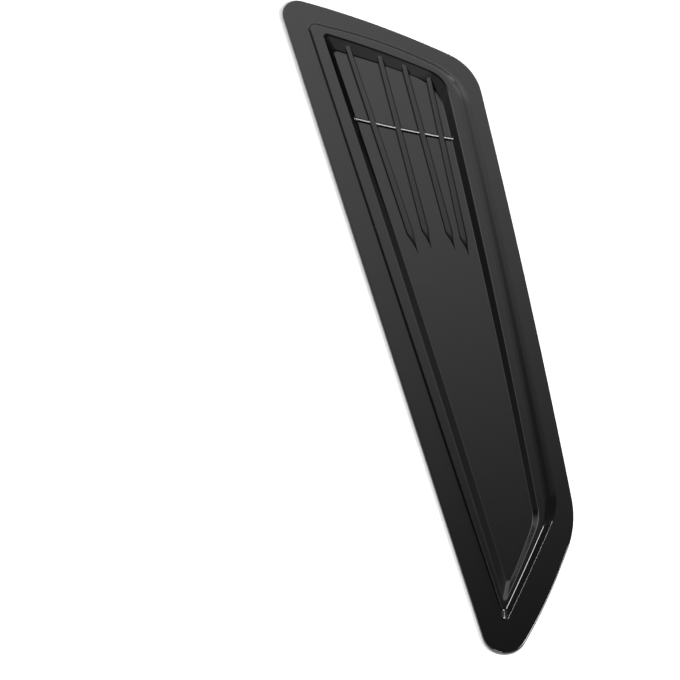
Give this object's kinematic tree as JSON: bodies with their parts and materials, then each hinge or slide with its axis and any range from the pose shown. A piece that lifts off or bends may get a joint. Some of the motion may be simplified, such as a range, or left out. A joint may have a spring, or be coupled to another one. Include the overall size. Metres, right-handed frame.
{
  "type": "bonnet scoop",
  "caption": "Long stick-on bonnet scoop plate with a raised land, a shallow ramped blind pocket, spear ribs and a cross bar.",
  "frame": {"origin": "centre of the bounding box on the plane of the rim lip's foot, which is the surface that the moulding is stuck to", "axes": "+Z away from the bonnet, +Y along the straight side towards the deep end of the pocket, +X from the straight side towards the bowed outer side"},
  "size_m": [0.1095, 0.4642, 0.007],
  "materials": {
    "gloss_black": "high-gloss moulded black plastic"
  },
  "bodies": {
    "root": {"bonnet_scoop": "gloss_black"}
  },
  "joints": []
}
